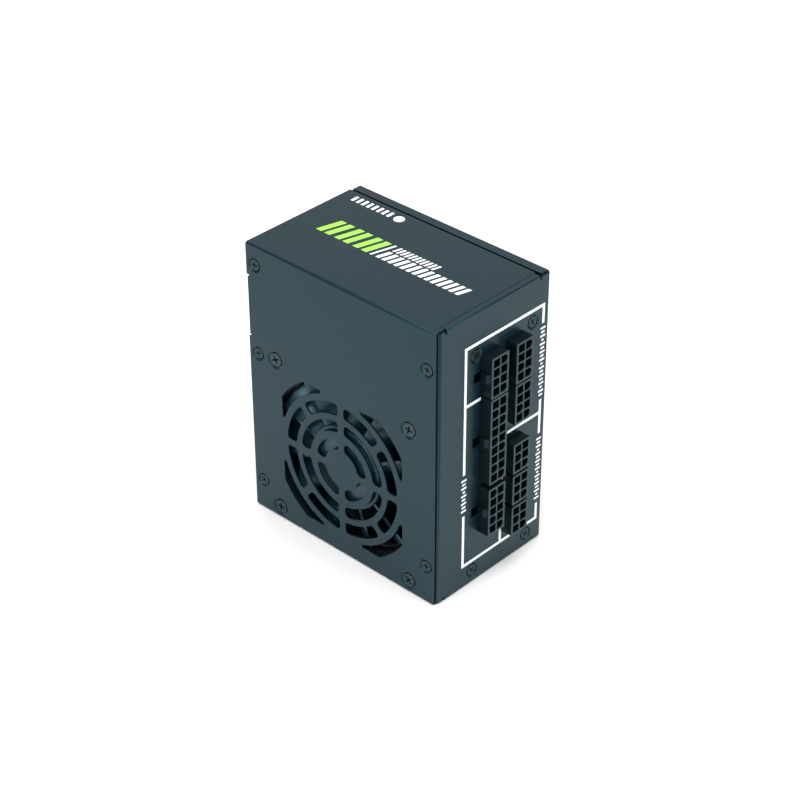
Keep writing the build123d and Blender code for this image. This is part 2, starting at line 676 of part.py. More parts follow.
def make_main_board():
    board = soften(block(-46.0, 39.4, BOARD_Y, BOARD_Y + BOARD_THICK, 3.0, 121.5), Axis.Y, 1.0)
    return board - board_holes(BOARD_Y - 1, BOARD_Y + BOARD_THICK + 1, SMALL_SHANK_R + 0.1)


def make_insulation_sheet():
    sheet = block(-47.0, 41.0, REAR_Y - SHEET - 0.4, REAR_Y - SHEET, 2.4, 122.6)
    return sheet - board_holes(REAR_Y - 3, REAR_Y, 3.2)


def make_standoffs():
    posts = []
    hole_r = SMALL_SHANK_R + SHANK_GAP
    for x, z in STANDOFFS:
        post = cone_y(x, z, BOARD_Y + BOARD_THICK, 2.6, REAR_Y - SHEET, 2.6)
        posts.append(post - cone_y(x, z, BOARD_Y, hole_r, REAR_Y - 2.2, hole_r))
    return posts


def make_toroid(x, z, outer, inner, height, lift):
    core = can_on_board(x, z, outer, height, lift) - can_on_board(x, z, inner, height + 2, lift - 1)
    return fillet(core.edges(), 0.8)


def make_toroid_windings(x, z, outer, inner, height, lift, turns, span):
    """Two groups of round wire turns about a ring core, as separate solids."""
    wire_r = 0.75
    middle_y = BOARD_Y - lift - height / 2
    half_h = height / 2 + wire_r
    mean = (outer + inner) / 2
    half_w = (outer - inner) / 2 + wire_r + 0.12
    turns_made = []
    loop_out = RectangleRounded(2 * (half_w + wire_r), 2 * (half_h + wire_r), 1.6)
    loop_in = RectangleRounded(2 * (half_w - wire_r), 2 * (half_h - wire_r), 0.3)
    one_turn = extrude(loop_out - loop_in, wire_r, both=True)
    for start in (-90 - span / 2, 90 - span / 2):
        for index in range(turns):
            angle = start + span * index / (turns - 1)
            place = Pos(x, middle_y, z) * Rot(0, angle, 0) * Pos(mean, 0, 0)
            turns_made.append(place * one_turn)
    return turns_made


CHOKES = [(-7.0, 111.0), (-12.0, 89.0)]
PFC_CHOKE = (-28.0, 23.0)
BULK_CAP = (-16.0, 62.0, 15.0, 34.0)


def make_bulk_capacitor():
    x, z, radius, height = BULK_CAP
    can = can_on_board(x, z, radius, height)
    can = fillet(can.edges(), 1.2)
    top = BOARD_Y - height
    groove = cone_y(x, z, top - 1, radius - 2.6, top + 0.35, radius - 2.6)
    return can - (groove - cone_y(x, z, top - 2, radius - 3.2, top + 1, radius - 3.2))


def make_output_capacitors():
    cans = []
    for index in range(8):
        can = can_on_board(33.4, 12.0 + 9.0 * index, 3.9, 16.0)
        cans.append(fillet(can.edges(), 0.5))
    return cans


def make_finned_plate(x, z0, z1, height, fins):
    """Upright plate along Z with short fins on its +X side."""
    plate = block(x, x + 2.5, BOARD_Y - height, BOARD_Y, z0, z1)
    for index in range(fins):
        y = BOARD_Y - height + 1.0 + index * 3.4
        plate += block(x + 2.5, x + 4.7, y, y + 1.2, z0, z1)
    return plate


def make_heatsinks():
    """Bridge, primary and output heatsinks."""
    bridge = make_finned_plate(-37.4, 40.0, 66.0, 30.0, 6)
    primary = make_finned_plate(2.0, 10.0, 40.0, 32.0, 0)
    output = block(14.0, 34.0, BOARD_Y - 28.0, BOARD_Y, 80.2, 82.7)
    return [bridge, primary, output]


def make_primary_transistors():
    bodies = []
    for index in range(3):
        z = 17.0 + 12.0 * index
        body = block(-2.5, 2.0, BOARD_Y - 24.0, BOARD_Y - 8.0, z - 5.0, z + 5.0)
        body = chamfer(body.faces().sort_by(Axis.X)[0].edges(), 0.6)
        for offset in (-2.54, 0, 2.54):
            body += block(-0.6, 0.0, BOARD_Y - 8.5, BOARD_Y, z + offset - 0.45, z + offset + 0.45)
        bodies.append(body)
    return bodies


def make_bridge_rectifier():
    body = block(-41.0, -37.4, BOARD_Y - 22.0, BOARD_Y - 4.0, 42.0, 63.0)
    body = soften(body, Axis.X, 1.0)
    for index in range(4):
        z = 45.0 + 5.0 * index
        body += block(-39.6, -38.8, BOARD_Y - 4.5, BOARD_Y, z - 0.6, z + 0.6)
    return body


def make_main_transformer_core():
    x, z = 17.5, 58.0
    halves = on_board(x, z, 22.0, 32.0, 24.0, 3.0)
    window = block(x - 12, x + 12, BOARD_Y - 22.5, BOARD_Y - 7.5, z - 11.0, z + 11.0)
    leg = cone_y(x, z, BOARD_Y - 23.0, 6.5, BOARD_Y - 7.0, 6.5)
    return soften(halves - window + leg, Axis.Z, 0.6)


def make_main_transformer_winding():
    x, z = 17.5, 58.0
    coil = cone_y(x, z, BOARD_Y - 22.5, 10.8, BOARD_Y - 7.5, 10.8)
    coil -= cone_y(x, z, BOARD_Y - 24, 6.5, BOARD_Y - 6, 6.5)
    return fillet(coil.edges(), 0.5)


def make_main_transformer_bobbin():
    """Foot plate with two rows of pins under the core."""
    foot = on_board(17.5, 58.0, 22.0, 34.0, 2.0, 1.0)
    for index in range(6):
        z = 45.5 + 5.0 * index
        for x in (8.5, 26.5):
            foot += block(x - 0.4, x + 0.4, BOARD_Y - 1.5, BOARD_Y, z - 0.4, z + 0.4)
    return foot


def make_standby_transformer():
    core = on_board(11.0, 101.0, 15.0, 13.0, 4.0, 9.5) + on_board(11.0, 101.0, 15.0, 13.0, 3.0, 1.0)
    core += on_board(5.2, 101.0, 3.4, 5.0, 12.0, 1.0) + on_board(16.8, 101.0, 3.4, 5.0, 12.0, 1.0)
    core += on_board(11.0, 101.0, 8.0, 10.0, 12.0, 1.0)
    for x in (5.0, 17.0):
        for z in (96.0, 106.0):
            core += block(x - 0.4, x + 0.4, BOARD_Y - 1.5, BOARD_Y, z - 0.4, z + 0.4)
    return soften(core, Axis.Y, 0.3)


def standing_disc(x, z, radius, thick):
    """Coated disc on two legs, its faces across Z."""
    y = BOARD_Y - 2.5 - radius
    body = Pos(x, y, z) * Cylinder(radius, thick)
    body = fillet(body.edges(), thick * 0.35)
    for side in (-1, 1):
        leg_x = x + side * 2.5
        body += block(leg_x - 0.35, leg_x + 0.35, y + 2.0, BOARD_Y, z - 0.35, z + 0.35)
    return body


def make_upright_board(x0, x1, z, height, chips):
    """Small circuit board standing on the main board, with chips on both faces."""
    board = block(x0, x1, BOARD_Y - height, BOARD_Y, z - 0.6, z + 0.6)
    for index in range(chips):
        x = x0 + (index + 0.5) * (x1 - x0) / chips
        board += block(x - 2.0, x + 2.0, BOARD_Y - height + 4, BOARD_Y - height + 9, z - 1.7, z + 1.7)
        board += block(x - 1.2, x + 1.2, BOARD_Y - height + 12, BOARD_Y - height + 14, z - 1.2, z + 1.2)
    return board


def make_fuse():
    x, z = -38.0, 99.0
    y = BOARD_Y - 3.4
    tube = Pos(x, y, z) * Cylinder(2.3, 16.0)
    for side in (-1, 1):
        tube += Pos(x, y, z + side * 7.5) * Cylinder(2.7, 5.0)
        leg_z = z + side * 8.0
        tube += block(x - 0.5, x + 0.5, y + 2.0, BOARD_Y, leg_z - 0.5, leg_z + 0.5)
    return tube


# ---- write every node --------------------------------------------------------------------------
def save_casing():
    save("cover", make_cover())
    save("tray", make_tray())
    head_y = FAN_FACE_Y + HEAD_RECESS
    head_x = SOCKET_X - HEAD_RECESS
    inlet_face = INLET_X - INLET_FLANGE
    small = flat_screw(SMALL_HEAD_R, SMALL_HEAD_H, SMALL_SHANK_R, 6.0)
    large = flat_screw(FAN_HEAD_R, FAN_HEAD_H, FAN_SHANK_R, 10.0)
    inlet_places = [(inlet_face, -INLET_SCREW_Y, INLET_Z), (inlet_face, INLET_SCREW_Y, INLET_Z)]
    save("cover_screws", *driven(small, [(x, head_y, z) for x, z in COVER_SCREWS], (0, -1, 0)))
    save("fan_screws", *driven(large, [(x, head_y, z) for x, z in fan_corners()], (0, -1, 0)))
    save("socket_board_screws", *driven(small, [(head_x, y, z) for y, z in SOCKET_SCREWS], (1, 0, 0)))
    save("inlet_screws", *driven(small, inlet_places, (-1, 0, 0)))


def save_mains_side():
    save("inlet_body", make_inlet_body())
    save("inlet_blades", *make_inlet_pins())
    save("switch_body", make_switch_body())
    save("switch_rocker", make_rocker())
    save("switch_terminals", *make_switch_terminals())
    save("mains_wires", *make_mains_wires())


def save_fan():
    save("fan_frame", make_fan_frame())
    save("fan_impeller", make_impeller())
    save("fan_yoke_ring", FAN_PLACE * ring(17.1, 16.5, 2.6, 11.8))
    save("fan_magnet", FAN_PLACE * ring(16.5, 15.0, 3.4, 11.4))
    save("fan_shaft", FAN_PLACE * disc(SHAFT_R, 1.8, 12.6))
    save("fan_shaft_clip", FAN_PLACE * ring(2.2, SHAFT_R, 11.9, 12.2))
    save("fan_bearing", FAN_PLACE * ring(2.5, SHAFT_R + SHAFT_CLEARANCE, 3.8, 11.6))
    save("fan_stator", make_stator())
    save("fan_coils", *make_stator_coils())
    save("fan_circuit_board", FAN_PLACE * ring(13.6, 3.6, 11.4, 12.4))
    save("fan_lead", *make_fan_lead())
    save("fan_plug", make_fan_plug())
    save("fan_header", make_fan_header())


def save_sockets():
    for name, column, rows, z in CABLE_SOCKETS:
        save(name, make_socket(column, rows, z))
    save("socket_pins", *make_socket_pins())
    save("socket_board", make_socket_board())
    save("socket_board_spacers", *make_socket_spacers())


def save_boards():
    save("main_board", make_main_board())
    save("insulation_sheet", make_insulation_sheet())
    save("board_standoffs", *make_standoffs())
    board_screw = pan_screw(2.75, 1.9, SMALL_SHANK_R, 4.5)
    save("board_screws", *driven(board_screw, [(x, BOARD_Y, z) for x, z in STANDOFFS], (0, -1, 0)))
    save("upright_boards", make_upright_board(14.0, 37.0, 92.0, 25.0, 3),
         make_upright_board(20.5, 37.0, 106.0, 22.0, 2))


def save_mains_components():
    save("mains_fuse", make_fuse())
    save("surge_discs", *[standing_disc(5.0, z, 6.0, 4.0) for z in (83.0, 89.5)])
    save("suppression_capacitors", *[standing_disc(x, 113.0, 3.6, 3.0) for x in (-38.0, -29.0)])
    save("film_capacitors", soften(on_board(-39.5, 77.0, 9.0, 16.0, 13.0), Axis.Y, 0.8),
         soften(on_board(-29.5, 88.5, 8.0, 5.0, 12.0), Axis.Y, 0.8))
    save("choke_cores", *[make_toroid(x, z, 8.0, 4.2, 9.0, 3.0) for x, z in CHOKES])
    save("choke_windings", *[
        turn for x, z in CHOKES for turn in make_toroid_windings(x, z, 8.0, 4.2, 9.0, 3.0, 5, 84)])
    x, z = PFC_CHOKE
    save("boost_choke_core", make_toroid(x, z, 13.5, 7.0, 13.0, 3.0))
    save("boost_choke_winding", *make_toroid_windings(x, z, 13.5, 7.0, 13.0, 3.0, 9, 150))
    save("bridge_rectifier", make_bridge_rectifier())
    save("bulk_capacitor", make_bulk_capacitor())


def save_conversion_components():
    save("heatsinks", *make_heatsinks())
    save("primary_transistors", *make_primary_transistors())
    save("transformer_core", make_main_transformer_core())
    save("transformer_winding", make_main_transformer_winding())
    save("transformer_base", make_main_transformer_bobbin())
    save("standby_transformer", make_standby_transformer())
    save("output_capacitors", *make_output_capacitors())
    save("output_choke_core", make_toroid(17.5, 25.0, 9.0, 4.6, 9.0, 3.0))
    save("output_choke_winding", *make_toroid_windings(17.5, 25.0, 9.0, 4.6, 9.0, 3.0, 6, 110))


os.makedirs("parts", exist_ok=True)
save_casing()
save_mains_side()
save_fan()
save_sockets()
save_boards()
save_mains_components()
save_conversion_components()
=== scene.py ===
import json
import math

import bmesh
import bpy
from mathutils import Matrix, Vector


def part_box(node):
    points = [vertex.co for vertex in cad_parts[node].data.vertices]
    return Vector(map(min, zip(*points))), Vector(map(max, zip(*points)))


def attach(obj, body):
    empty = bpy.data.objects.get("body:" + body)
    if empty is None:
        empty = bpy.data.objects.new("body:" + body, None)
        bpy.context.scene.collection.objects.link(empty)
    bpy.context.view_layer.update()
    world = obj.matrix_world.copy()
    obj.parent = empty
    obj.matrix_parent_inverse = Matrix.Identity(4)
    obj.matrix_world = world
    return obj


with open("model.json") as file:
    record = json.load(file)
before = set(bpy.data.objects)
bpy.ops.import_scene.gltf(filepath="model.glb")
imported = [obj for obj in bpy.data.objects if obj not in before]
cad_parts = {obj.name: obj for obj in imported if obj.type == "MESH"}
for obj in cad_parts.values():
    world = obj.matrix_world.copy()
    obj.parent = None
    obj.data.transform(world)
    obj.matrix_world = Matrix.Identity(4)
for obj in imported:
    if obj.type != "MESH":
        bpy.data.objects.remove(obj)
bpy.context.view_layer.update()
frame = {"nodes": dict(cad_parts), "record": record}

MM = 0.001
SCENE = bpy.context.scene

# ---- places taken from the frame ---------------------------------------------
COVER_LO, COVER_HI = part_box("cover")
TRAY_LO, TRAY_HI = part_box("tray")
SOCKET_FRONT_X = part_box("socket_left_18")[1].x
CASE_CENTRE = Vector((
    (TRAY_LO.x + TRAY_HI.x) / 2,
    (COVER_LO.y + TRAY_HI.y) / 2,
    (COVER_LO.z + COVER_HI.z) / 2,
))


# ---- camera, lights and floor ---------------------------------------------------
CAMERA_AZIMUTH = 43.22
CAMERA_ELEVATION = 33.68
CAMERA_ROLL = -0.14
CAMERA_DISTANCE = 0.8576
CAMERA_AIM_RIGHT = 0.00130
CAMERA_AIM_UP = -0.00295
CAMERA_LENS = 97.4
SENSOR_WIDTH = 36.0


def make_camera():
    """Camera on the viewing direction, aimed a little beside the casing's centre."""
    azimuth = math.radians(CAMERA_AZIMUTH)
    elevation = math.radians(CAMERA_ELEVATION)
    roll = math.radians(CAMERA_ROLL)
    back = Vector((
        math.sin(azimuth) * math.cos(elevation),
        -math.cos(azimuth) * math.cos(elevation),
        math.sin(elevation),
    ))
    level = Vector((0, 0, 1)).cross(back).normalized()
    upright = back.cross(level)
    right = level * math.cos(roll) + upright * math.sin(roll)
    up = upright * math.cos(roll) - level * math.sin(roll)
    aim = CASE_CENTRE + right * CAMERA_AIM_RIGHT + up * CAMERA_AIM_UP
    camera = bpy.data.objects.new("camera", bpy.data.cameras.new("camera"))
    SCENE.collection.objects.link(camera)
    turn = Matrix((right, up, back)).transposed().to_4x4()
    camera.matrix_world = Matrix.Translation(aim + back * CAMERA_DISTANCE) @ turn
    camera.data.lens = CAMERA_LENS
    camera.data.sensor_width = SENSOR_WIDTH
    camera.data.clip_start = 0.05
    camera.data.clip_end = 50.0
    SCENE.camera = camera


WHITE = (1.0, 1.0, 1.0, 1.0)
SKY_STRENGTH = 0.42
FLOOR_HALF = 3.0
FLOOR_GAP = 0.02 * MM
FLOOR_COLOUR = (0.93, 0.93, 0.93, 1.0)
FLOOR_ROUGH = 0.7

# Name, direction from the casing's middle, distance and size in metres, brightness.
SOFTBOXES = (
    ("overhead", (0.05, -0.05, 1.0), 1.30, 1.20, 4.0),
    ("rear_left", (-0.57, 0.61, 0.56), 1.60, 1.50, 0.50),
    ("front", (0.45, -0.75, 0.70), 1.30, 0.70, 2.6),
    ("front_low", (0.05, -0.95, 0.30), 1.30, 0.42, 9.0),
    ("edge_left", (-0.57, -0.55, 0.61), 1.50, 0.12, 18.0),
    ("edge_right", (0.55, 0.61, 0.57), 1.50, 0.12, 18.0),
    ("wall_side", (0.93, 0.28, 0.24), 1.30, 0.60, 4.5),
)


def add_softbox(name, direction, distance, size, brightness):
    """Square soft light on one side of the casing, pointed at its middle."""
    data = bpy.data.lights.new(name, "AREA")
    data.size = size
    data.energy = brightness * math.pi * size * size
    light = bpy.data.objects.new(name, data)
    SCENE.collection.objects.link(light)
    side = Vector(direction).normalized()
    light.location = CASE_CENTRE + side * distance
    light.rotation_euler = side.to_track_quat("Z", "Y").to_euler()


def make_sky():
    world = bpy.data.worlds.new("studio")
    world.use_nodes = True
    sky = world.node_tree.nodes["Background"]
    sky.inputs["Color"].default_value = WHITE
    sky.inputs["Strength"].default_value = SKY_STRENGTH
    SCENE.world = world


def make_floor():
    """Pale square just under the face that the casing stands on."""
    near, far = -FLOOR_HALF, FLOOR_HALF
    mesh = bpy.data.meshes.new("floor")
    corners = [(near, near, 0), (far, near, 0), (far, far, 0), (near, far, 0)]
    mesh.from_pydata(corners, [], [(0, 1, 2, 3)])
    floor = bpy.data.objects.new("floor", mesh)
    floor.location.z = COVER_LO.z - FLOOR_GAP
    SCENE.collection.objects.link(floor)
    material = bpy.data.materials.new("floor_pale")
    material.use_nodes = True
    shader = material.node_tree.nodes["Principled BSDF"]
    shader.inputs["Base Color"].default_value = FLOOR_COLOUR
    shader.inputs["Roughness"].default_value = FLOOR_ROUGH
    mesh.materials.append(material)


def make_stage():
    """Soft surroundings, softboxes and a pale floor."""
    make_sky()
    for softbox in SOFTBOXES:
        add_softbox(*softbox)
    make_floor()
    SCENE.view_settings.view_transform = "Standard"


# ---- materials --------------------------------------------------------------------
NOISE_LOW = 0.3
NOISE_HIGH = 0.7
ROUGH_SPREAD = 0.06
COAT_ROUGH = 0.08
WAVE_PERIOD = 0.314
BAND_BLUR = 0.05


def link(tree, source, target):
    tree.links.new(source, target)


def noise_node(tree, coordinates, scale, detail=3.0, rough=0.55):
    node = tree.nodes.new("ShaderNodeTexNoise")
    node.inputs["Scale"].default_value = scale
    node.inputs["Detail"].default_value = detail
    node.inputs["Roughness"].default_value = rough
    link(tree, coordinates, node.inputs["Vector"])
    return node.outputs["Fac"]


def map_range(tree, value, low, high, to_low, to_high):
    node = tree.nodes.new("ShaderNodeMapRange")
    node.inputs["From Min"].default_value = low
    node.inputs["From Max"].default_value = high
    node.inputs["To Min"].default_value = to_low
    node.inputs["To Max"].default_value = to_high
    link(tree, value, node.inputs["Value"])
    return node.outputs["Result"]


def mix_colours(tree, factor, first, second):
    """Colour between two, each a colour or another node's output."""
    node = tree.nodes.new("ShaderNodeMix")
    node.data_type = "RGBA"
    link(tree, factor, node.inputs["Factor"])
    for value, socket in ((first, node.inputs[6]), (second, node.inputs[7])):
        if isinstance(value, tuple):
            socket.default_value = (*value, 1.0)
        else:
            link(tree, value, socket)
    return node.outputs[2]


def shade(colour, factor):
    return tuple(channel * factor for channel in colour)


def surface(name, colour, rough, metallic=0.0, mottle=0.10, mottle_scale=120.0,
            grain_scale=2500.0, grain_depth=0.02, coat=0.0, specular=0.5,
            tint=(1.0, 1.0, 1.0), stretch=None):
    """Procedural finish: mottled colour, uneven roughness and a fine bumped grain.

    The grain's depth is in millimetres, and `tint` colours the gloss.
    """
    material = bpy.data.materials.new(name)
    material.use_nodes = True
    tree = material.node_tree
    shader = tree.nodes["Principled BSDF"]
    coordinates = tree.nodes.new("ShaderNodeTexCoord").outputs["Object"]
    if stretch:
        mapping = tree.nodes.new("ShaderNodeMapping")
        mapping.inputs["Scale"].default_value = stretch
        link(tree, coordinates, mapping.inputs["Vector"])
        coordinates = mapping.outputs["Vector"]
    broad = noise_node(tree, coordinates, mottle_scale)
    share = map_range(tree, broad, NOISE_LOW, NOISE_HIGH, 0.0, 1.0)
    mixed = mix_colours(tree, share, shade(colour, 1 - mottle), shade(colour, 1 + mottle))
    link(tree, mixed, shader.inputs["Base Color"])
    fine = noise_node(tree, coordinates, grain_scale, detail=2.0)
    smooth, coarse = rough - ROUGH_SPREAD, rough + ROUGH_SPREAD
    uneven = map_range(tree, fine, NOISE_LOW, NOISE_HIGH, smooth, coarse)
    link(tree, uneven, shader.inputs["Roughness"])
    bump = tree.nodes.new("ShaderNodeBump")
    bump.inputs["Strength"].default_value = 1.0
    bump.inputs["Distance"].default_value = grain_depth * MM
    link(tree, fine, bump.inputs["Height"])
    link(tree, bump.outputs["Normal"], shader.inputs["Normal"])
    shader.inputs["Metallic"].default_value = metallic
    shader.inputs["Coat Weight"].default_value = coat
    shader.inputs["Coat Roughness"].default_value = COAT_ROUGH
    shader.inputs["Specular IOR Level"].default_value = specular
    shader.inputs["Specular Tint"].default_value = (*tint, 1.0)
    return material


def banded(material, axis, edge, width, colour):
    """Blend the base colour to another beyond one plane of the object's own space."""
    tree = material.node_tree
    shader = tree.nodes["Principled BSDF"]
    before = shader.inputs["Base Color"].links[0].from_socket
    coordinates = tree.nodes.new("ShaderNodeTexCoord").outputs["Object"]
    split = tree.nodes.new("ShaderNodeSeparateXYZ")
    link(tree, coordinates, split.inputs["Vector"])
    beyond = map_range(tree, split.outputs[axis], edge, edge + width, 0.0, 1.0)
    link(tree, mix_colours(tree, beyond, before, colour), shader.inputs["Base Color"])
    return material


def striped(material, axis, pitch, colour, share=0.5):
    """Bands across one axis, such as stacked laminations or layers of tape.

    A wave texture of scale 1 repeats every WAVE_PERIOD metres.
    """
    tree = material.node_tree
    shader = tree.nodes["Principled BSDF"]
    before = shader.inputs["Base Color"].links[0].from_socket
    coordinates = tree.nodes.new("ShaderNodeTexCoord").outputs["Object"]
    wave = tree.nodes.new("ShaderNodeTexWave")
    wave.bands_direction = axis
    wave.inputs["Scale"].default_value = WAVE_PERIOD / pitch
    link(tree, coordinates, wave.inputs["Vector"])
    band = map_range(tree, wave.outputs["Fac"], share - BAND_BLUR, share + BAND_BLUR, 0.0, 1.0)
    link(tree, mix_colours(tree, band, before, colour), shader.inputs["Base Color"])
    return material


CASING_COLOUR = (0.0020, 0.0105, 0.0175)
CASING_TINT = (0.41, 0.88, 1.0)
PLASTIC_BLACK = (0.0030, 0.0060, 0.0085)
# Painted highlight: a lighter colour on the sockets' front faces, standing in for the light those
# faces catch.
PAINTED_RIM_HIGHLIGHT = (0.028, 0.045, 0.053)
RIM_DEPTH = 0.12 * MM
RIM_BLUR = 0.04 * MM
COOL = (0.62, 0.90, 1.0)
FAN_TINT = (0.50, 0.88, 1.0)
LAMINATION_PITCH = 0.5 * MM
TAPE_PITCH = 4.0 * MM

casing_finish = surface("powder_coat", CASING_COLOUR, 0.35, mottle=0.05, mottle_scale=60.0,
                        grain_scale=1500.0, grain_depth=0.012, specular=0.37, tint=CASING_TINT)
nylon = surface("socket_nylon", PLASTIC_BLACK, 0.42, mottle=0.15, grain_scale=2200.0,
                grain_depth=0.015, specular=0.2, tint=COOL)
core_steel = surface("core_steel", (0.30, 0.31, 0.32), 0.38, metallic=1.0)
tape = surface("polyester_tape", (0.62, 0.40, 0.05), 0.32, coat=0.3)

FINISHES = {
    # casing, screws and plated metal
    "casing_steel": casing_finish,
    "screw_steel": surface("black_screw", (0.035, 0.050, 0.056), 0.34, metallic=0.7,
                           grain_scale=900.0, specular=0.3, tint=COOL),
    "fan_screw_steel": surface("dark_nickel", (0.045, 0.062, 0.068), 0.30, metallic=0.9,
                               grain_scale=900.0, specular=0.4, tint=COOL),
    "plated_steel": surface("zinc_plate", (0.60, 0.60, 0.57), 0.30, metallic=1.0, mottle=0.14),
    "brass": surface("dull_brass", (0.20, 0.16, 0.09), 0.40, metallic=0.8),
    "tinned_brass": surface("tin_plate", (0.74, 0.72, 0.67), 0.26, metallic=1.0),
    # mouldings
    # painted highlight: the socket nylon turns lighter on its front rim, in place of the light it
    # catches
    "connector_nylon": banded(nylon, "X", SOCKET_FRONT_X - RIM_DEPTH, RIM_BLUR, PAINTED_RIM_HIGHLIGHT),
    "inlet_plastic": surface("inlet_moulding", (0.006, 0.008, 0.010), 0.34, mottle=0.12,
                             grain_scale=1800.0, grain_depth=0.01, specular=0.3, tint=COOL),
    "fan_plastic": surface("fan_moulding", (0.003, 0.006, 0.008), 0.34, mottle=0.12,
                           grain_depth=0.004, specular=0.18, tint=COOL),
    "impeller_plastic": surface("impeller_moulding", (0.007, 0.022, 0.032), 0.28, mottle=0.10,
                                grain_depth=0.004, specular=0.42, tint=FAN_TINT),
    # motor and windings
    "magnet": surface("bonded_magnet", (0.06, 0.05, 0.045), 0.7, mottle=0.2),
    "copper": surface("enamelled_copper", (0.20, 0.07, 0.03), 0.30, metallic=0.9, coat=0.3,
                      mottle=0.12, mottle_scale=400.0),
    "lamination": striped(core_steel, "Y", LAMINATION_PITCH, (0.12, 0.12, 0.13)),
    "bronze": surface("sintered_bronze", (0.48, 0.32, 0.14), 0.5, metallic=1.0,
                      grain_depth=0.04),
    # boards, wires and components
    "circuit_board": surface("green_mask", (0.006, 0.040, 0.018), 0.34, coat=0.3, mottle=0.25,
                             mottle_scale=350.0),
    "board_black": surface("black_mask", (0.010, 0.016, 0.016), 0.34, coat=0.2, mottle=0.25,
                           mottle_scale=350.0),
    "wire_insulation": surface("wire_sleeve", (0.016, 0.016, 0.017), 0.45, mottle=0.2),
    "insulation_film": surface("black_film", (0.020, 0.021, 0.022), 0.40, mottle=0.06),
    "aluminium": surface("black_anodised", (0.030, 0.031, 0.033), 0.38, metallic=0.4,
                         stretch=(1.0, 1.0, 0.06), mottle_scale=900.0),
    "ferrite": surface("ferrite_core", (0.05, 0.05, 0.055), 0.5, mottle=0.2, mottle_scale=500.0),
    "core_coating": surface("core_epoxy", (0.03, 0.20, 0.16), 0.4, mottle=0.12),
    "capacitor_sleeve": surface("shrink_sleeve", (0.016, 0.018, 0.030), 0.28, coat=0.4),
    "component_epoxy": surface("dipped_epoxy", (0.03, 0.12, 0.36), 0.34, coat=0.3),
    "component_black": surface("moulded_epoxy", (0.018, 0.018, 0.019), 0.5, mottle=0.2),
    "film_box": surface("film_box", (0.55, 0.38, 0.04), 0.4, mottle=0.08),
    "tape_yellow": striped(tape, "Y", TAPE_PITCH, (0.50, 0.31, 0.03), 0.9),
    "fuse_ceramic": surface("fuse_ceramic", (0.72, 0.72, 0.68), 0.30),
}

EDGE_ANGLE = math.radians(50)
WELD_REACH = 0.001 * MM

# Radius of each node's broken edges, in millimetres.
BROKEN_EDGES = {
    "cover": 0.06,
    "tray": 0.06,
    "inlet_body": 0.20,
    "switch_body": 0.20,
    "switch_rocker": 0.20,
    "fan_frame": 0.20,
}


def break_edges(obj, radius_mm):
    """Narrow rounded edges, which catch the light as a folded or moulded edge does."""
    weld = obj.modifiers.new("weld", "WELD")
    weld.merge_threshold = WELD_REACH
    bevel = obj.modifiers.new("edges", "BEVEL")
    bevel.width = radius_mm * MM
    bevel.segments = 2
    bevel.limit_method = "ANGLE"
    bevel.angle_limit = EDGE_ANGLE
    bevel.harden_normals = True


def finish_cad_nodes():
    """Give each CAD node its finish, and some of them slightly broken edges."""
    slots = {row["node"]: row["material_slot"] for row in frame["record"]["subparts"]}
    for name, obj in frame["nodes"].items():
        material = FINISHES[slots[name]]
        if obj.material_slots:
            for material_slot in obj.material_slots:
                material_slot.material = material
        else:
            obj.data.materials.append(material)
        if name in BROKEN_EDGES:
            break_edges(obj, BROKEN_EDGES[name])


# ---- printed graphics -----------------------------------------------------------------
PRINT_LIFT = 0.004 * MM
PRINT_THICK = 0.04 * MM

# Frame lines on the socket wall: u from the fan-side edge, v from the top, in millimetres.
LINE = 1.30
FRAME_LEFT, FRAME_RIGHT = 15.9, 60.1
FRAME_TOP, FRAME_BOTTOM = 13.7, 114.2
COLUMN_LINE = 38.1
LEFT_RULE, RIGHT_RULE = 39.2, 62.8
RULE_BREAK = (24.7, 35.0)
LEFT_LABELS = ((71.4, 88.5),)
RIGHT_LABELS = ((23.0, 55.6), (73.9, 105.6))
LABEL_CLEAR = 1.2
MARK_WIDTHS = (2.9, 2.0, 2.9, 1.3, 2.9, 2.0)
MARK_PITCH = 1.8
MARK_THICK = 0.84

# Slashes on the top face: u from the fan edge, v from the inlet edge, in millimetres.
BAND_FRONT, BAND_REAR = 25.75, 37.0
BAND_LEAN = 3.0
GREEN_START = 12.8
GREEN_PAIRS = 3
GREEN_PAIR_PITCH = 9.8
GREEN_STEP = 4.5
GREEN_WIDTH = 2.9


def wall_point(u, v, lift):
    return Vector((TRAY_HI.x + lift, COVER_LO.y + u * MM, COVER_HI.z - v * MM))


def top_point(u, v, lift):
    return Vector((TRAY_LO.x + v * MM, COVER_LO.y + u * MM, COVER_HI.z + lift))


def bar(u0, u1, v0, v1):
    return [(u0, v0), (u1, v0), (u1, v1), (u0, v1)]


def slash(u0, u1, v0, v1, lean):
    """Parallelogram whose far side is moved by `lean` along v."""
    return [(u0, v0), (u1, v0 + lean), (u1, v1 + lean), (u0, v1)]


def slash_row(count, near, far, start, pitch, width, lean):
    """Evenly spaced slashes, one after the other along v."""
    places = [start + pitch * index for index in range(count)]
    return [slash(near, far, v, v + width, lean) for v in places]


def disc(u, v, radius, steps=32):
    turn = 2 * math.pi / steps
    return [
        (u + radius * math.cos(index * turn), v + radius * math.sin(index * turn))
        for index in range(steps)
    ]


def print_piece(name, outlines, place, material):
    """Thin closed slabs of ink, one for each convex outline, as one piece."""
    mesh = bpy.data.meshes.new(name)
    work = bmesh.new()
    for outline in outlines:
        low = [work.verts.new(place(u, v, PRINT_LIFT)) for u, v in outline]
        high = [work.verts.new(place(u, v, PRINT_THICK)) for u, v in outline]
        count = len(outline)
        work.faces.new(low)
        work.faces.new(high)
        for index in range(count):
            after = (index + 1) % count
            work.faces.new((low[index], low[after], high[after], high[index]))
    bmesh.ops.recalc_face_normals(work, faces=work.faces)
    work.to_mesh(mesh)
    work.free()
    mesh.materials.append(material)
    obj = bpy.data.objects.new(name, mesh)
    SCENE.collection.objects.link(obj)
    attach(obj, "root")


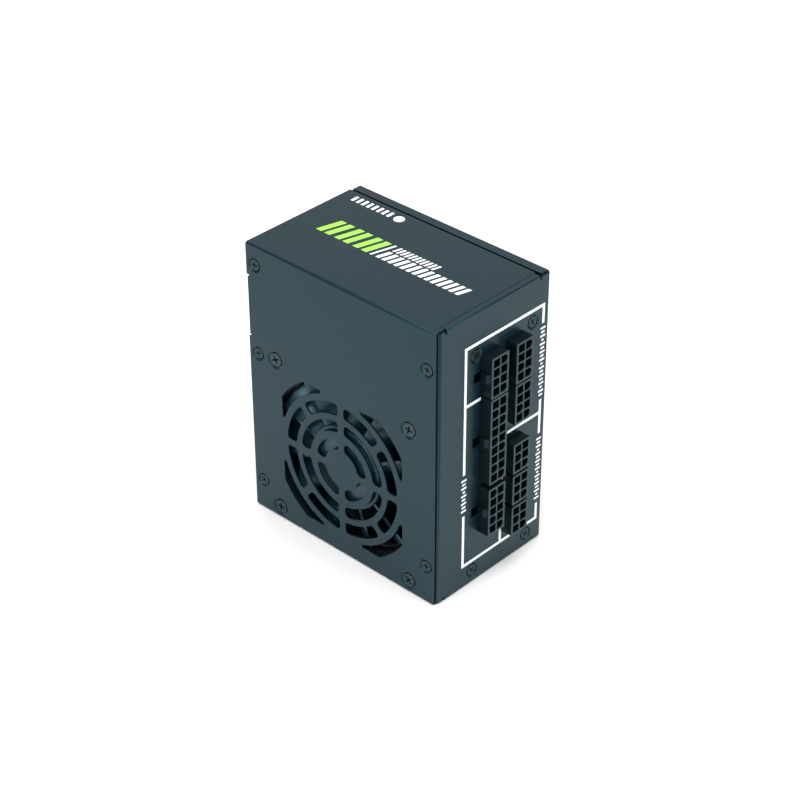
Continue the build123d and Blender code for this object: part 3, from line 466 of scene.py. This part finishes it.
def upright_line(u, labels):
    """Side of the frame, from top to bottom, which stops short of its labels."""
    half = LINE / 2
    ends = [FRAME_TOP - half]
    for start, end in labels:
        ends += [start - LABEL_CLEAR, end + LABEL_CLEAR]
    ends.append(FRAME_BOTTOM + half)
    return [bar(u - half, u + half, v0, v1) for v0, v1 in zip(ends[::2], ends[1::2])]


def level_line(v, u0, u1):
    return [bar(u0, u1, v - LINE / 2, v + LINE / 2)]


def socket_frame_outlines():
    """White frame round the cable sockets, and the rules between their groups."""
    half = LINE / 2
    left, right = FRAME_LEFT + half, FRAME_RIGHT - half
    column = [bar(COLUMN_LINE - half, COLUMN_LINE + half, LEFT_RULE - half, FRAME_BOTTOM - half)]
    return (
        upright_line(FRAME_LEFT, LEFT_LABELS)
        + upright_line(FRAME_RIGHT, RIGHT_LABELS)
        + level_line(FRAME_TOP, left, right)
        + level_line(FRAME_BOTTOM, left, right)
        + level_line(LEFT_RULE, left, RULE_BREAK[0])
        + level_line(LEFT_RULE, RULE_BREAK[1], COLUMN_LINE - half)
        + column
        + level_line(RIGHT_RULE, COLUMN_LINE + half, right)
    )


def label_marks(u, labels):
    """Rows of plain marks standing in for labels, along one side of the frame."""
    marks = []
    for v0, v1 in labels:
        count = int((v1 - v0) / MARK_PITCH)
        start = v0 + ((v1 - v0) - count * MARK_PITCH) / 2
        for index in range(count):
            half = MARK_WIDTHS[index % len(MARK_WIDTHS)] / 2
            middle = start + (index + 0.5) * MARK_PITCH
            marks.append(bar(u - half, u + half, middle - MARK_THICK / 2, middle + MARK_THICK / 2))
    return marks


def top_green_outlines():
    """Wide slashes, in pairs."""
    outlines = []
    for pair in range(GREEN_PAIRS):
        start = GREEN_START + pair * GREEN_PAIR_PITCH
        outlines += slash_row(count=2, near=BAND_FRONT, far=BAND_REAR, start=start,
                              pitch=GREEN_STEP, width=GREEN_WIDTH, lean=BAND_LEAN)
    return outlines


def top_white_outlines():
    """Rule, a row of large slashes, a row of small ones, and a dot beside its strokes."""
    rule = slash_row(count=1, near=BAND_FRONT, far=BAND_REAR, start=41.6,
                     pitch=0.0, width=1.0, lean=BAND_LEAN)
    large = slash_row(count=14, near=BAND_FRONT, far=32.0, start=44.6,
                      pitch=3.1, width=1.8, lean=1.7)
    small = slash_row(count=11, near=33.0, far=BAND_REAR, start=46.6,
                      pitch=2.0, width=1.0, lean=1.1)
    dot = disc(u=53.2, v=31.4, radius=2.3)
    strokes = slash_row(count=8, near=51.6, far=55.4, start=6.4,
                        pitch=2.75, width=1.4, lean=0.0)
    return rule + large + small + [dot] + strokes


def make_prints():
    white = surface("white_ink", (0.86, 0.90, 0.90), 0.55, mottle=0.03, grain_depth=0.006)
    lime = surface("lime_ink", (0.32, 0.68, 0.072), 0.5, mottle=0.03, grain_depth=0.006)
    labels = label_marks(FRAME_RIGHT, RIGHT_LABELS) + label_marks(FRAME_LEFT, LEFT_LABELS)
    print_piece("print_socket_frame", socket_frame_outlines(), wall_point, white)
    print_piece("print_socket_labels", labels, wall_point, white)
    print_piece("print_top_green", top_green_outlines(), top_point, lime)
    print_piece("print_top_white", top_white_outlines(), top_point, white)


make_camera()
make_stage()
finish_cad_nodes()
make_prints()
